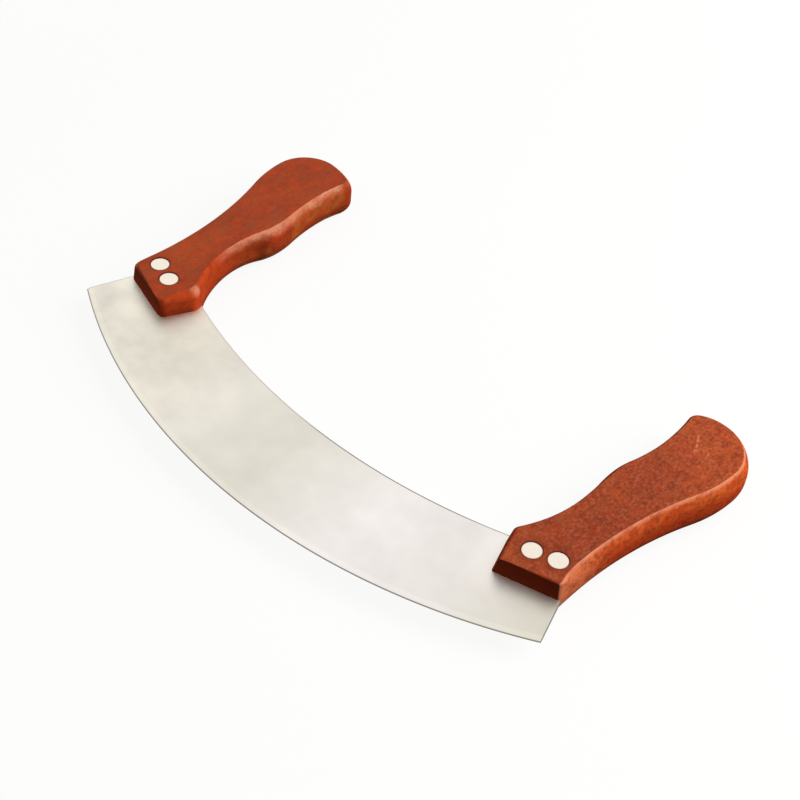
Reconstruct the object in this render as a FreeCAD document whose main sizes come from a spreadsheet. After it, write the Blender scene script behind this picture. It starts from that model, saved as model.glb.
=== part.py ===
import FreeCAD, Part
import math
import os
import Sketcher

# Rocking pizza knife: a crescent steel blade riveted into two slotted wooden handles.
# It is drawn about the middle of the line between the blade's tips, on the blade's mid plane, with +X towards
# the right handle and +Y towards the handles' free ends, and then set down on the handles' flat undersides.

# Driving dimensions, in millimetres and degrees: name, size, what it measures
SIZES = (
    ("blade_chord", 250, "straight line between the blade's two tips"),
    ("blade_depth", 47.5, "cutting edge to spine at the middle of the blade"),
    ("blade_thickness", 1.5, "steel sheet"),
    ("edge_radius", 250, "curve of the cutting edge"),
    ("spine_radius", 258, "curve of the hollow spine"),
    ("end_lean", 19, "lean of each end of the blade towards the middle"),
    ("bevel_width", 2.5, "ground bevel beside the cutting edge"),
    ("edge_land", 0.3, "thickness left at the cutting edge"),
    ("rivet_tip_distance", 20.5, "blade tip to the middle of a rivet pair, along the chord"),
    ("rivet_spine_distance", 11, "spine to the middle of a rivet pair"),
    ("rivet_spacing", 10.2, "between the two rivets of a pair"),
    ("rivet_slant", 19.5, "slope of a rivet pair"),
    ("base_slant", 15.5, "slope of a handle's base"),
    ("base_setback", 9.6, "rivet pair to the base of the handle"),
    ("base_inner_reach", 16.3, "middle of the rivet pair to the base's inner corner, along the base"),
    ("base_outer_reach", 11.5, "middle of the rivet pair to the base's outer corner, along the base"),
    ("shoulder_length", 17.7, "inner side of the base, up to the spine"),
    ("shoulder_lean", 25, "lean of the inner side of the base"),
    ("neck_in", 9.3, "rivet pair to the deepest point of the neck, across"),
    ("neck_up", 32, "rivet pair to the deepest point of the neck, along the handle"),
    ("bump_in", 10.6, "rivet pair to the top of the finger bump, across"),
    ("bump_up", 49.5, "rivet pair to the top of the finger bump, along the handle"),
    ("hollow_in", 6.5, "rivet pair to the hollow of the grip, across"),
    ("hollow_up", 81, "rivet pair to the hollow of the grip, along the handle"),
    ("butt_corner_in", 7.8, "rivet pair to the inner corner of the butt, across"),
    ("butt_corner_up", 99.5, "rivet pair to the inner corner of the butt, along the handle"),
    ("waist_out", 13.7, "rivet pair to the narrowest point of the outer side, across"),
    ("waist_up", 13, "rivet pair to the narrowest point of the outer side, along the handle"),
    ("bulb_out", 27.4, "rivet pair to the widest point of the bulb, across"),
    ("bulb_up", 86.3, "rivet pair to the widest point of the bulb, along the handle"),
    ("butt_radius", 22, "round of the butt, from the bulb to the end of the handle"),
    ("handle_thickness", 18, "wood across both faces"),
    ("edge_round", 2, "round of the handle's face edges"),
    ("corner_ease", 0.4, "how much rounder the handle's upright corners are than its face edges"),
    ("slot_fit", 0.05, "gap between the blade and each wall of its slot"),
    ("rivet_head_diameter", 8, "head of either half of a rivet"),
    ("rivet_head_height", 1.6, "head of either half of a rivet"),
    ("rivet_tube_diameter", 5, "outside of the tube half"),
    ("rivet_pin_diameter", 3.4, "pin half"),
    ("rivet_pin_fit", 0.03, "gap round the pin inside the tube"),
    ("rivet_hole_fit", 0.1, "gap round the tube and the heads in their holes"),
    ("rivet_end_gap", 0.4, "gap past the end of the tube and of the pin"),
    ("rivet_rim", 0.25, "broken edge of a rivet head and of the pin's end"),
    ("overrun", 5, "how far a cut runs past what it cuts"),
)

# Where each side curve of a handle turns over, as a share of the way along it
OUTER_FLARE_SHARE = 0.72
NECK_TURN_SHARE = 0.5
GRIP_TURN_SHARE = 0.4

# How a sketch counts the points of a curve, and its own origin
START, END, CENTRE = range(1, 4)
SKETCH_ORIGIN = (-1, START)

document = FreeCAD.newDocument("rocking_pizza_knife")
sheet = document.addObject("Spreadsheet::Sheet", "sizes")
for row, (alias, length, meaning) in enumerate(SIZES, start=1):
    sheet.set(f"A{row}", meaning)
    sheet.set(f"B{row}", str(length))
    sheet.setAlias(f"B{row}", alias)
document.recompute()

# Places on the blade, worked out from the sizes
TIP_X = "sizes.blade_chord / 2"
EDGE_CENTRE_Y = f"sqrt(sizes.edge_radius ^ 2 - ({TIP_X}) ^ 2)"
EDGE_LOW_Y = f"({EDGE_CENTRE_Y} - sizes.edge_radius)"
SPINE_CENTRE_Y = f"({EDGE_LOW_Y} + sizes.blade_depth + sizes.spine_radius)"

# Middle of the right handle's rivet pair, from which the handle is set out
PAIR_X = f"({TIP_X} - sizes.rivet_tip_distance)"
PAIR_Y = f"({SPINE_CENTRE_Y} - sqrt(sizes.spine_radius ^ 2 - {PAIR_X} ^ 2) - sizes.rivet_spine_distance)"

# Middle of the whole knife from its edge to the handles' ends, and heights about the blade's mid plane
BUTT_Y = f"({PAIR_Y} + sizes.bulb_up + sizes.butt_radius)"
MIDDLE_Y = f"(({EDGE_LOW_Y} + {BUTT_Y}) / 2)"
FACE_HEIGHT = "sizes.handle_thickness / 2"
HEAD_SEAT = f"({FACE_HEIGHT} - sizes.rivet_head_height)"

# Radii of the rivets and of their holes
HEAD_RADIUS = "sizes.rivet_head_diameter / 2"
TUBE_RADIUS = "sizes.rivet_tube_diameter / 2"
PIN_RADIUS = "sizes.rivet_pin_diameter / 2"
BORE_RADIUS = f"({PIN_RADIUS} + sizes.rivet_pin_fit)"
HEAD_HOLE_RADIUS = f"({HEAD_RADIUS} + sizes.rivet_hole_fit)"
TUBE_HOLE_RADIUS = f"({TUBE_RADIUS} + sizes.rivet_hole_fit)"


def from_pair(across, up):
    """Place across and up from the middle of the right handle's rivet pair."""
    return f"{PAIR_X} + {across}", f"{PAIR_Y} + {up}"


def on_base(reach):
    """Place on the base of the handle, at a reach from the foot of the rivet pair."""
    return from_pair(f"({reach}) * cos(sizes.base_slant) + sizes.base_setback * sin(sizes.base_slant)",
                     f"({reach}) * sin(sizes.base_slant) - sizes.base_setback * cos(sizes.base_slant)")


def in_pair(reach):
    """Place of a rivet, at a reach from the middle of its pair."""
    return from_pair(f"({reach}) * cos(sizes.rivet_slant)", f"({reach}) * sin(sizes.rivet_slant)")


def between(start, end, share):
    """Place on the straight line from start to end, at a share of its length."""
    return tuple(f"({a}) + (({b}) - ({a})) * {share}" for a, b in zip(start, end))


def mirrored(place):
    """Place on the left side that mirrors one on the right."""
    return f"-({place[0]})", place[1]


# The right handle's outline: its corners, and the points where its sides run along the handle
BASE_TIP = on_base("-sizes.base_inner_reach")
BASE_HEEL = on_base("sizes.base_outer_reach")
SHOULDER = (f"{BASE_TIP[0]} - sizes.shoulder_length * sin(sizes.shoulder_lean)",
            f"{BASE_TIP[1]} + sizes.shoulder_length * cos(sizes.shoulder_lean)")
NECK = from_pair("-sizes.neck_in", "sizes.neck_up")
BUMP = from_pair("-sizes.bump_in", "sizes.bump_up")
HOLLOW = from_pair("-sizes.hollow_in", "sizes.hollow_up")
BUTT_CORNER = from_pair("-sizes.butt_corner_in", "sizes.butt_corner_up")
WAIST = from_pair("sizes.waist_out", "sizes.waist_up")
BULB = from_pair("sizes.bulb_out", "sizes.bulb_up")
BUTT_TOP = from_pair("sizes.bulb_out - sizes.butt_radius", "sizes.bulb_up + sizes.butt_radius")
OUTER_FLARE = between(WAIST, BULB, OUTER_FLARE_SHARE)
NECK_TURN = between(NECK, BUMP, NECK_TURN_SHARE)
GRIP_TURN = between(BUMP, HOLLOW, GRIP_TURN_SHARE)
RIVETS = {
    "outer": in_pair("sizes.rivet_spacing / 2"),
    "inner": in_pair("-sizes.rivet_spacing / 2"),
}

# Each stretch of the outline: where it starts, and the point where its curve runs straight along the handle,
# or straight across it at the top of the butt; the base and the shoulder are straight lines
HANDLE_OUTLINE = (
    (BASE_TIP, None),
    (BASE_HEEL, WAIST),
    (WAIST, WAIST),
    (OUTER_FLARE, BULB),
    (BULB, BULB),
    (BUTT_TOP, BUTT_TOP),
    (BUTT_CORNER, HOLLOW),
    (HOLLOW, HOLLOW),
    (GRIP_TURN, BUMP),
    (BUMP, BUMP),
    (NECK_TURN, NECK),
    (NECK, NECK),
    (SHOULDER, None),
)
UPRIGHT_CORNERS = (BASE_TIP, BASE_HEEL, BUTT_CORNER, SHOULDER)

# Half section of a rivet's tube half, head down, from its axis outwards and back
TUBE_SECTION = [
    ("0", f"-{FACE_HEIGHT}"),
    (f"{HEAD_RADIUS} - sizes.rivet_rim", f"-{FACE_HEIGHT}"),
    (HEAD_RADIUS, f"-{FACE_HEIGHT} + sizes.rivet_rim"),
    (HEAD_RADIUS, f"-{HEAD_SEAT}"),
    (TUBE_RADIUS, f"-{HEAD_SEAT}"),
    (TUBE_RADIUS, f"{HEAD_SEAT} - sizes.rivet_end_gap"),
    (BORE_RADIUS, f"{HEAD_SEAT} - sizes.rivet_end_gap"),
    (BORE_RADIUS, f"-{HEAD_SEAT}"),
    ("0", f"-{HEAD_SEAT}"),
]

# Half section of a rivet's pin half, head up, from its axis outwards and back
PIN_SECTION = [
    ("0", FACE_HEIGHT),
    (f"{HEAD_RADIUS} - sizes.rivet_rim", FACE_HEIGHT),
    (HEAD_RADIUS, f"{FACE_HEIGHT} - sizes.rivet_rim"),
    (HEAD_RADIUS, HEAD_SEAT),
    (PIN_RADIUS, HEAD_SEAT),
    (PIN_RADIUS, f"-{HEAD_SEAT} + sizes.rivet_end_gap + sizes.rivet_rim"),
    (f"{PIN_RADIUS} - sizes.rivet_rim", f"-{HEAD_SEAT} + sizes.rivet_end_gap"),
    ("0", f"-{HEAD_SEAT} + sizes.rivet_end_gap"),
]


def number(expression):
    """Value of an expression on the sizes."""
    return float(sheet.evalExpression(expression))


def vector(place):
    """Place as numbers."""
    return FreeCAD.Vector(number(place[0]), number(place[1]), 0)


def end_direction():
    """Direction of the blade's right end, from its tip to its back."""
    lean = math.radians(number("sizes.end_lean"))
    return FreeCAD.Vector(-math.sin(lean), math.cos(lean), 0)


def new_body(name):
    """Body drawn about the chord's middle and set down on the handles' undersides."""
    body = document.addObject("PartDesign::Body", name)
    body.Label = name
    body.setExpression("Placement.Base.y", f"-{MIDDLE_Y}")
    body.setExpression("Placement.Base.z", FACE_HEIGHT)
    return body


def new_sketch(body, name, plane="XY_Plane", height="0"):
    """Sketch on one of the body's own planes, lifted to a height above it."""
    sketch = body.newObject("Sketcher::SketchObject", name)
    support = next(feature for feature in body.Origin.OriginFeatures if feature.Role == plane)
    sketch.AttachmentSupport = (support, [""])
    sketch.MapMode = "FlatFace"
    sketch.setExpression("AttachmentOffset.Base.z", height)
    return sketch


def constrain(sketch, kind, *points, size=None):
    """Add a constraint, bound to a size where one is given."""
    if size is None:
        sketch.addConstraint(Sketcher.Constraint(kind, *points))
        return
    value = math.radians(number(size)) if kind == "Angle" else number(size)
    index = sketch.addConstraint(Sketcher.Constraint(kind, *points, value))
    sketch.setExpression(f"Constraints[{index}]", size)


def fix_point(sketch, curve, point, place):
    """Hold a point of a curve at a place."""
    constrain(sketch, "DistanceX", *SKETCH_ORIGIN, curve, point, size=place[0])
    constrain(sketch, "DistanceY", *SKETCH_ORIGIN, curve, point, size=place[1])


def fix_spine(sketch, arc, radius):
    """Hold the centre of the spine's arc on the knife's middle line and give the arc its radius."""
    fix_point(sketch, arc, CENTRE, ("0", SPINE_CENTRE_Y))
    constrain(sketch, "Radius", arc, size=radius)


def other_end(point):
    """The other end of a curve."""
    return END if point == START else START


def add_line(sketch, start, end):
    """Straight line; gives its index and which of its ends lies at start."""
    return sketch.addGeometry(Part.LineSegment(start, end)), START


def add_arc(sketch, centre, start, end):
    """Arc about a centre by the short way; gives its index and which of its ends lies at start."""
    angles = [math.atan2(point.y - centre.y, point.x - centre.x) for point in (start, end)]
    turn = (angles[1] - angles[0]) % math.tau
    forwards = turn < math.pi
    first = angles[0] if forwards else angles[1]
    sweep = turn if forwards else math.tau - turn
    circle = Part.Circle(centre, FreeCAD.Vector(0, 0, 1), (start - centre).Length)
    arc = sketch.addGeometry(Part.ArcOfCircle(circle, first, first + sweep))
    return arc, (START if forwards else END)


def add_side_curve(sketch, start, end, level, along=True):
    """Arc from start to end that runs straight along the handle at level, or straight across it."""
    begin, finish, at = vector(start), vector(end), vector(level)
    span = (finish if level is start else begin) - at
    offset = span.Length ** 2 / (2 * (span.x if along else span.y))
    centre = at + (FreeCAD.Vector(offset, 0, 0) if along else FreeCAD.Vector(0, offset, 0))
    arc, start_point = add_arc(sketch, centre, begin, finish)
    level_point = start_point if level is start else other_end(start_point)
    constrain(sketch, "Horizontal" if along else "Vertical", arc, CENTRE, arc, level_point)
    return arc, start_point


def join_ring(sketch, curves):
    """Join curves end to end in a ring."""
    for (curve, start_point), (last, last_start) in zip(curves, curves[-1:] + curves[:-1]):
        constrain(sketch, "Coincident", last, other_end(last_start), curve, start_point)


def draw_polygon(sketch, corners):
    """Closed outline of straight lines through the corners."""
    sides = zip(corners, corners[1:] + corners[:1])
    lines = [add_line(sketch, vector(start), vector(end)) for start, end in sides]
    join_ring(sketch, lines)
    for (line, start_point), corner in zip(lines, corners):
        fix_point(sketch, line, start_point, corner)


def draw_circles(sketch, places, radius):
    """Circles of one radius about several places."""
    for place in places:
        circle = sketch.addGeometry(Part.Circle(vector(place), FreeCAD.Vector(0, 0, 1), number(radius)))
        fix_point(sketch, circle, CENTRE, place)
        constrain(sketch, "Radius", circle, size=radius)


def draw_blade_outline(sketch):
    """The blade seen from above: cutting edge, two leaning ends and hollow spine."""
    tip = (TIP_X, "0")
    right_tip, left_tip = vector(tip), vector(mirrored(tip))
    right_back = right_tip + end_direction() * number("sizes.blade_depth")
    left_back = FreeCAD.Vector(-right_back.x, right_back.y, 0)
    edge, _ = add_arc(sketch, FreeCAD.Vector(0, number(EDGE_CENTRE_Y), 0), left_tip, right_tip)
    spine, _ = add_arc(sketch, FreeCAD.Vector(0, number(SPINE_CENTRE_Y), 0), left_back, right_back)
    ends = (
        (START, mirrored(tip), left_tip, left_back, "90 - sizes.end_lean"),
        (END, tip, right_tip, right_back, "90 + sizes.end_lean"),
    )
    for point, place, low, high, angle in ends:
        line, _ = add_line(sketch, low, high)
        constrain(sketch, "Coincident", edge, point, line, START)
        constrain(sketch, "Coincident", spine, point, line, END)
        constrain(sketch, "Angle", line, size=angle)
        fix_point(sketch, edge, point, place)
    constrain(sketch, "Radius", edge, size="sizes.edge_radius")
    fix_spine(sketch, spine, "sizes.spine_radius")


def draw_bevel_section(sketch):
    """What is ground off both faces beside the cutting edge, and the axis that it is turned about."""
    for face in ("", "-"):
        draw_polygon(sketch, [
            (f"{EDGE_LOW_Y} + sizes.bevel_width", f"{face}sizes.blade_thickness / 2"),
            (EDGE_LOW_Y, f"{face}sizes.edge_land / 2"),
            (f"{EDGE_LOW_Y} - sizes.overrun", f"{face}sizes.edge_land / 2"),
            (f"{EDGE_LOW_Y} - sizes.overrun", f"{face}sizes.blade_thickness / 2"),
        ])
    axis_ends = [(EDGE_CENTRE_Y, "0"), (EDGE_CENTRE_Y, "sizes.overrun")]
    axis = sketch.addGeometry(Part.LineSegment(*map(vector, axis_ends)), True)
    for point, place in zip((START, END), axis_ends):
        fix_point(sketch, axis, point, place)


def draw_handle_outline(sketch):
    """The right handle seen from above: straight base, necked inner side, flared outer side and round butt."""
    corners = [corner for corner, _ in HANDLE_OUTLINE]
    curves = []
    for (start, level), end in zip(HANDLE_OUTLINE, corners[1:] + corners[:1]):
        if level is None:
            curves.append(add_line(sketch, vector(start), vector(end)))
        else:
            curves.append(add_side_curve(sketch, start, end, level, along=level is not BUTT_TOP))
    join_ring(sketch, curves)
    for (curve, start_point), corner in zip(curves, corners):
        fix_point(sketch, curve, start_point, corner)


def draw_slot(sketch):
    """The blade's end as the slot holds it: end line and spine with their gaps, open past the base."""
    low_y = f"{BASE_TIP[1]} - sizes.overrun"
    end_low = (f"{TIP_X} + sizes.slot_fit / cos(sizes.end_lean) - ({low_y}) * tan(sizes.end_lean)", low_y)
    inner_low = (f"{SHOULDER[0]} - sizes.overrun", low_y)
    inner_high = vector((inner_low[0], PAIR_Y))
    back = vector(end_low) + end_direction() * number("sizes.blade_depth")
    end_line = add_line(sketch, vector(end_low), back)
    spine = add_arc(sketch, FreeCAD.Vector(0, number(SPINE_CENTRE_Y), 0), back, inner_high)
    inner_line = add_line(sketch, inner_high, vector(inner_low))
    low_line = add_line(sketch, vector(inner_low), vector(end_low))
    join_ring(sketch, [end_line, spine, inner_line, low_line])
    fix_spine(sketch, spine[0], "sizes.spine_radius - sizes.slot_fit")
    fix_point(sketch, *end_line, end_low)
    fix_point(sketch, *low_line, inner_low)
    constrain(sketch, "Angle", end_line[0], size="90 + sizes.end_lean")
    constrain(sketch, "Vertical", inner_line[0])


def extrude(body, kind, name, sketch, depth=None, symmetric=True, reverse=False):
    """Pad or Pocket of a sketch to a depth, or through everything."""
    feature = body.newObject(f"PartDesign::{kind}", name)
    feature.Profile = sketch
    if depth is None:
        feature.Type = "ThroughAll"
    else:
        feature.setExpression("Length", depth)
    feature.SideType = "Symmetric" if symmetric else "One side"
    feature.Reversed = reverse
    document.recompute()
    if kind == "Pocket" and feature.Shape.Volume >= feature.BaseFeature.Shape.Volume:
        raise RuntimeError(f"{name} cuts nothing")
    return feature


def fillet(body, name, base, edges, radius):
    """Round some edges of the last feature."""
    feature = body.newObject("PartDesign::Fillet", name)
    feature.Base = (base, edges)
    feature.setExpression("Radius", radius)
    document.recompute()
    return feature


def edge_names(shape, wanted):
    """Names of a shape's edges that are wanted."""
    return [f"Edge{count}" for count, edge in enumerate(shape.Edges, start=1) if wanted(edge)]


def is_upright_corner(edge):
    """Whether an edge of the handle's blank stands at one of the outline's sharp corners."""
    foot = FreeCAD.Vector(edge.CenterOfMass.x, edge.CenterOfMass.y, 0)
    near = FreeCAD.Base.Precision.approximation()
    return any(foot.isEqual(vector(corner), near) for corner in UPRIGHT_CORNERS)


def is_face_edge(edge):
    """Whether an edge of the handle's blank goes round its upper or lower face."""
    return math.isclose(abs(edge.CenterOfMass.z), number(FACE_HEIGHT))


def build_blade():
    """Crescent sheet with slanted ends, four rivet holes and a bevel on both faces of its edge."""
    body = new_body("blade")
    outline = new_sketch(body, "blade_outline")
    draw_blade_outline(outline)
    extrude(body, "Pad", "blade_sheet", outline, "sizes.blade_thickness")

    hole_places = new_sketch(body, "blade_rivet_places")
    draw_circles(hole_places, [*RIVETS.values(), *map(mirrored, RIVETS.values())], TUBE_HOLE_RADIUS)
    punched = extrude(body, "Pocket", "blade_rivet_holes", hole_places)

    section = new_sketch(body, "blade_bevel_section", "YZ_Plane")
    draw_bevel_section(section)
    bevel = body.newObject("PartDesign::Groove", "blade_bevel")
    bevel.Profile = section
    bevel.ReferenceAxis = (section, ["Axis0"])
    document.recompute()
    if bevel.Shape.Volume >= punched.Shape.Volume:
        raise RuntimeError("the bevel cuts nothing")
    return body


def build_right_handle():
    """One piece of wood with rounded edges, a slot for the blade and stepped holes for its rivets."""
    body = new_body("right_handle")
    outline = new_sketch(body, "handle_outline")
    draw_handle_outline(outline)
    blank = extrude(body, "Pad", "handle_blank", outline, "sizes.handle_thickness")
    corners = edge_names(blank.Shape, is_upright_corner)
    cornered = fillet(body, "handle_corners", blank, corners, "sizes.edge_round + sizes.corner_ease")
    face_edges = edge_names(cornered.Shape, is_face_edge)
    fillet(body, "handle_face_edges", cornered, face_edges, "sizes.edge_round")

    slot = new_sketch(body, "blade_slot_outline")
    draw_slot(slot)
    extrude(body, "Pocket", "blade_slot", slot, "sizes.blade_thickness + 2 * sizes.slot_fit")

    shank_places = new_sketch(body, "rivet_shank_places")
    draw_circles(shank_places, RIVETS.values(), TUBE_HOLE_RADIUS)
    extrude(body, "Pocket", "rivet_shank_holes", shank_places)
    for face, height, upside_down in (("upper", FACE_HEIGHT, False), ("lower", f"-{FACE_HEIGHT}", True)):
        head_places = new_sketch(body, f"{face}_rivet_head_places", height=height)
        draw_circles(head_places, RIVETS.values(), HEAD_HOLE_RADIUS)
        extrude(body, "Pocket", f"{face}_rivet_head_holes", head_places, "sizes.rivet_head_height",
                symmetric=False, reverse=upside_down)
    return body


def build_left_handle(right_handle):
    """Mirror image of the right handle."""
    mirror = document.addObject("Part::Mirroring", "left_handle")
    mirror.Label = "left_handle"
    mirror.Source = right_handle
    mirror.Normal = FreeCAD.Vector(1, 0, 0)
    return mirror


def build_rivet_half(name, place, section):
    """Half of a rivet: its section turned about the rivet's axis, at the rivet's place."""
    body = new_body(name)
    body.setExpression("Placement.Base.x", place[0])
    body.setExpression("Placement.Base.y", f"{place[1]} - {MIDDLE_Y}")
    sketch = new_sketch(body, f"{name}_section", "XZ_Plane")
    draw_polygon(sketch, section)
    turned = body.newObject("PartDesign::Revolution", f"{name}_turned")
    turned.Profile = sketch
    turned.ReferenceAxis = (sketch, ["V_Axis"])
    return body


right_handle = build_right_handle()
pieces = [build_blade(), right_handle, build_left_handle(right_handle)]
for rivet, right_place in RIVETS.items():
    for side, place in (("left", mirrored(right_place)), ("right", right_place)):
        pieces.append(build_rivet_half(f"{side}_{rivet}_rivet_tube", place, TUBE_SECTION))
        pieces.append(build_rivet_half(f"{side}_{rivet}_rivet_pin", place, PIN_SECTION))
document.recompute()

for item in document.Objects:
    if {"Invalid", "Error"} & set(item.State):
        raise RuntimeError(f"{item.Label} failed: {item.State}")
    if item.isDerivedFrom("Sketcher::SketchObject") and not item.FullyConstrained:
        raise RuntimeError(f"{item.Label} is not fully constrained")
for piece in pieces:
    if piece.Shape.isNull() or not piece.Shape.isValid() or len(piece.Shape.Solids) != 1:
        raise RuntimeError(f"{piece.Label} is not one sound solid")

os.makedirs("parts", exist_ok=True)
for piece in pieces:
    piece.Shape.exportStep(f"parts/{piece.Label}.step")
    box = piece.Shape.optimalBoundingBox(False, False)
    print(f"{piece.Label}: {piece.Shape.Volume:.1f} cubic mm, x {box.XMin:.2f} to {box.XMax:.2f},",
          f"y {box.YMin:.2f} to {box.YMax:.2f}, z {box.ZMin:.2f} to {box.ZMax:.2f}")
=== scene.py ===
import bmesh
import bpy
import math
import numpy as np
from bpy.props import FloatProperty, FloatVectorProperty, IntProperty, PointerProperty
from mathutils import Matrix, Vector


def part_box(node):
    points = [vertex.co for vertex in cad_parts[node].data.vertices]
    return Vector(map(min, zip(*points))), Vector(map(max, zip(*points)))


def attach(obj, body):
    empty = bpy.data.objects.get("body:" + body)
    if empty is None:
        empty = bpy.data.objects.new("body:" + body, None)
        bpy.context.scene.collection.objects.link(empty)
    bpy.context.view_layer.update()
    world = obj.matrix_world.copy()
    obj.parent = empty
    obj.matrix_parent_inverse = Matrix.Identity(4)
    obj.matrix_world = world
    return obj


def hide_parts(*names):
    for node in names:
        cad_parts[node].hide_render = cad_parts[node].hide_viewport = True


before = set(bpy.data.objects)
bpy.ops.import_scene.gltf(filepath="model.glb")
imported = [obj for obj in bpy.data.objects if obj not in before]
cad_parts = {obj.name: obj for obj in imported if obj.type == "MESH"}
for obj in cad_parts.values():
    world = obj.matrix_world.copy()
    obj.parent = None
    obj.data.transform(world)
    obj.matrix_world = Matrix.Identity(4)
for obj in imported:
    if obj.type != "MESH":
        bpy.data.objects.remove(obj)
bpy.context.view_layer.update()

# Rocking pizza knife: a crescent steel blade riveted into two shaped wooden handles, lying flat.
# The handles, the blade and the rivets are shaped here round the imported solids, in their own frame and in metres.

bl_info = {
    "name": "Rocking Pizza Knife",
    "version": (1, 0, 0),
    "blender": (4, 5, 0),
    "location": "View3D > Sidebar > Pizza Knife",
    "description": "Shapes a two-handled rocking pizza knife round its solids and sets its stage",
    "category": "Object",
}

MM = 0.001

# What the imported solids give: faces of the handles, the blade's corners, and the rivets' places
HANDLE_LOW, HANDLE_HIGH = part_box("right_handle")
BLADE_LOW, BLADE_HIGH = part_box("blade")
MIDDLE_HEIGHT = (HANDLE_LOW[2] + HANDLE_HIGH[2]) / 2
HALF_HANDLE = (HANDLE_HIGH[2] - HANDLE_LOW[2]) / 2
HALF_BLADE = (BLADE_HIGH[2] - BLADE_LOW[2]) / 2
RIVET_NAMES = ("left_outer", "left_inner", "right_inner", "right_outer")
RIVET_NODES = [f"{name}_rivet_{half}" for name in RIVET_NAMES for half in ("tube", "pin")]


def box_middle(node):
    """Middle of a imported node's box."""
    low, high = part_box(node)
    return (Vector(low) + Vector(high)) / 2


RIVET_PLACES = {name: box_middle(f"{name}_rivet_pin").to_2d() for name in RIVET_NAMES}
RIVET_PAIR = (RIVET_PLACES["right_inner"] + RIVET_PLACES["right_outer"]) / 2
RIVET_HEAD = (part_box("right_inner_rivet_pin")[1][0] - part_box("right_inner_rivet_pin")[0][0]) / 2

# Places on the left and on the right handle's outline at the blade's mid plane, in millimetres across and up from
# the middle of its rivet pair, and how far a corner is rounded in plan
HANDLE_PLACES = {
    "base_tip": ((-14.04, -14.81), (-12.54, -14.31), 1.2),
    "base_heel": ((14.25, -6.38), (13.85, -6.68), 1.2),
    "waist": ((13.7, 17.0), (13.6, 5.0), 0.0),
    "bulb": ((26.08, 88.7), (27.38, 85.3), 0.0),
    "butt_top": ((7.9, 108.25), (5.8, 106.25), 0.0),
    "butt_corner": ((-9.2, 103.1), (-7.9, 100.9), 2.6),
    "hollow": ((-7.7, 86.5), (-6.0, 82.0), 0.0),
    "bump": ((-11.2, 56.5), (-10.6, 52.1), 0.0),
    "neck": ((-7.4, 35.5), (-9.0, 33.0), 0.0),
    "shoulder": ((-21.52, 1.24), (-18.52, 2.04), 1.5),
}

# How the sides turn in towards the upper face there: how far in its outline lies, how tall the round below it is,
# how many degrees the round turns, and the share of the inset that is plain draft
FACE_EDGES = {
    "base_tip": ((3.2, 1.2), 1.0, 74, 0.72),
    "base_heel": ((-3.0, 1.2), 1.0, 74, 0.62),
    "waist": ((-3.1, 0.0), 8.0, 42, 0.0),
    "bulb": ((-3.2, 0.0), 8.0, 43, 0.0),
    "butt_top": ((0.0, -3.1), 8.0, 42, 0.0),
    "butt_corner": ((2.4, -2.2), 6.0, 47, 0.0),
    "hollow": ((1.8, 0.0), 5.5, 38, 0.0),
    "bump": ((2.6, 0.0), 6.0, 46, 0.0),
    "neck": ((1.1, 0.0), 5.0, 32, 0.0),
    "shoulder": ((4.6, 1.0), 1.4, 74, 0.74),
}

# The places where the sides turn in more towards the underside than they do towards the upper face
UNDER_EDGES = {
    "base_heel": ((-4.0, 1.2), 8.5, 62, 0.0),
    "waist": ((-4.0, 0.0), 8.0, 52, 0.0),
    "butt_corner": ((3.2, -2.4), 7.0, 50, 0.0),
    "hollow": ((3.9, 0.0), 8.0, 52, 0.0),
    "bump": ((4.2, 0.0), 8.0, 54, 0.0),
    "neck": ((4.6, 0.0), 8.0, 56, 0.0),
}

# How each handle departs from the insets of its upper face
INSET_CHANGES = {
    "right": {"base_heel": (0.8, 0.0), "shoulder": (-1.0, 0.0)},
    "left": {"shoulder": (1.4, 0.8), "butt_corner": (-0.6, 0.5)},
}

# How tall the rounds and corners of each handle's base are beside those places, and how much of the draft is left
BASE_SOFTNESS = {"right": (1.0, 0.8), "left": (2.5, 0.6)}

# Places where a side's curve turns over, as a share of the way between two others
HANDLE_TURNS = {
    "flare": ("waist", "bulb", 0.75),
    "neck_turn": ("neck", "bump", 0.58),
    "grip_turn": ("bump", "hollow", 0.3),
}

# The outline's stretches: where each starts, and the place where its curve runs level with the handle
HANDLE_STRETCHES = (
    ("base_tip", None), ("base_heel", "waist"), ("waist", "waist"), ("flare", "bulb"), ("bulb", "bulb"),
    ("butt_top", "butt_top"), ("butt_corner", "hollow"), ("hollow", "hollow"), ("grip_turn", "bump"),
    ("bump", "bump"), ("neck_turn", "neck"), ("neck", "neck"), ("shoulder", None),
)

# How finely the pieces are stepped: the length of a step, counts of steps and rows, how much of a round lies below
# the eased crease, the eased strip of a face, and what counts as straight, as one point and as smooth
STEP = 0.9 * MM
FEWEST_STEPS = 4
CORNER_STEPS = 8
SIDE_ROWS = 4
ROUND_ROWS = 12
EASE_ROWS = 4
BLADE_STEPS = 260
END_STEPS = 41
DRILL_SIDES = 64
ROUND_SHARE = 0.94
FACE_INSET = 0.3 * MM
STRAIGHT = 0.001 * MM
ONE_POINT = 0.0005 * MM
SMOOTH_ANGLE = math.radians(32)

# Where each mark on a handle starts and is full: as parts of the surface's normal, then as shares of half the
# handle's thickness from its mid plane, and in millimetres up
MARKED = {
    "steep": (0.99, 0.94), "corner": (0.25, 0.5), "matt": (0.8, 0.4), "side": (0.15, 0.35), "end": (0.72, 0.92),
    "base": (0.2, 0.45), "edge": (0.3, 0.5), "outer": (0.3, 0.6), "heel": (0.35, 0.6), "finger": (-0.25, -0.55),
    "grip": (-0.1, -0.3), "edge_height": (0.84, 0.95), "grip_height": (0.15, 0.95), "heel_up": (-10.0, -20.0),
}

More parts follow.
